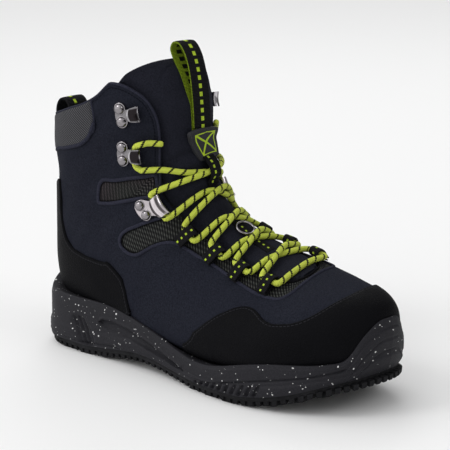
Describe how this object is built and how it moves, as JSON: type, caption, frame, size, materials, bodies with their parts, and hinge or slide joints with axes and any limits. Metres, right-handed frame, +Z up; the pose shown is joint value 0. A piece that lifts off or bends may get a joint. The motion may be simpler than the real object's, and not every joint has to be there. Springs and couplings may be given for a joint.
{
  "type": "wading boot",
  "caption": "Lace-up wading boot for the right foot: tall hollow softshell upper, rubber toe rand and heel counter, cup sole with lugs, padded tongue, steel lace hooks.",
  "frame": {"origin": "middle of the heel's contact with the ground, on a heel lug", "axes": "+X towards the toe, +Y towards the inner (big toe) side, +Z up"},
  "size_m": [0.3143, 0.1172, 0.2489],
  "materials": {
    "navy_softshell": "matt woven softshell",
    "black_synthetic": "fine-grained coated synthetic",
    "black_rubber": "matt",
    "charcoal_foam": "matt moulded foam with pale flecks",
    "grey_ribbed_fabric": "diagonally ribbed",
    "black_webbing": "woven tape",
    "nickel_steel": "polished nickel plate",
    "lime_cord": "braided"
  },
  "bodies": {
    "root": {"outsole": "black_rubber", "midsole": "charcoal_foam", "insole": "charcoal_foam", "upper": "navy_softshell", "tongue": "navy_softshell", "toe_rand": "black_synthetic", "heel_counter": "black_synthetic", "heel_patch": "grey_ribbed_fabric", "tongue_patch": "black_synthetic", "tongue_pull": "black_webbing", "heel_pull": "black_webbing", "lace_keeper": "black_webbing", "ring_strap": "black_webbing", "ring": "nickel_steel", "hook_1_lateral": "nickel_steel", "hook_1_medial": "nickel_steel", "hook_2_lateral": "nickel_steel", "hook_2_medial": "nickel_steel", "hook_lock_lateral": "nickel_steel", "hook_lock_medial": "nickel_steel", "lace_loop_1_lateral": "black_webbing", "lace_loop_1_medial": "black_webbing", "lace_loop_2_lateral": "black_webbing", "lace_loop_2_medial": "black_webbing", "lace_loop_3_lateral": "black_webbing", "lace_loop_3_medial": "black_webbing", "lace_loop_4_lateral": "black_webbing", "lace_loop_4_medial": "black_webbing", "lace_bar": "lime_cord", "lace_cross_1": "lime_cord", "lace_cross_2": "lime_cord", "lace_cross_3": "lime_cord", "lace_cross_4": "lime_cord", "lace_cross_5": "lime_cord", "lace_end_lateral": "lime_cord", "lace_end_medial": "lime_cord"}
  },
  "joints": []
}
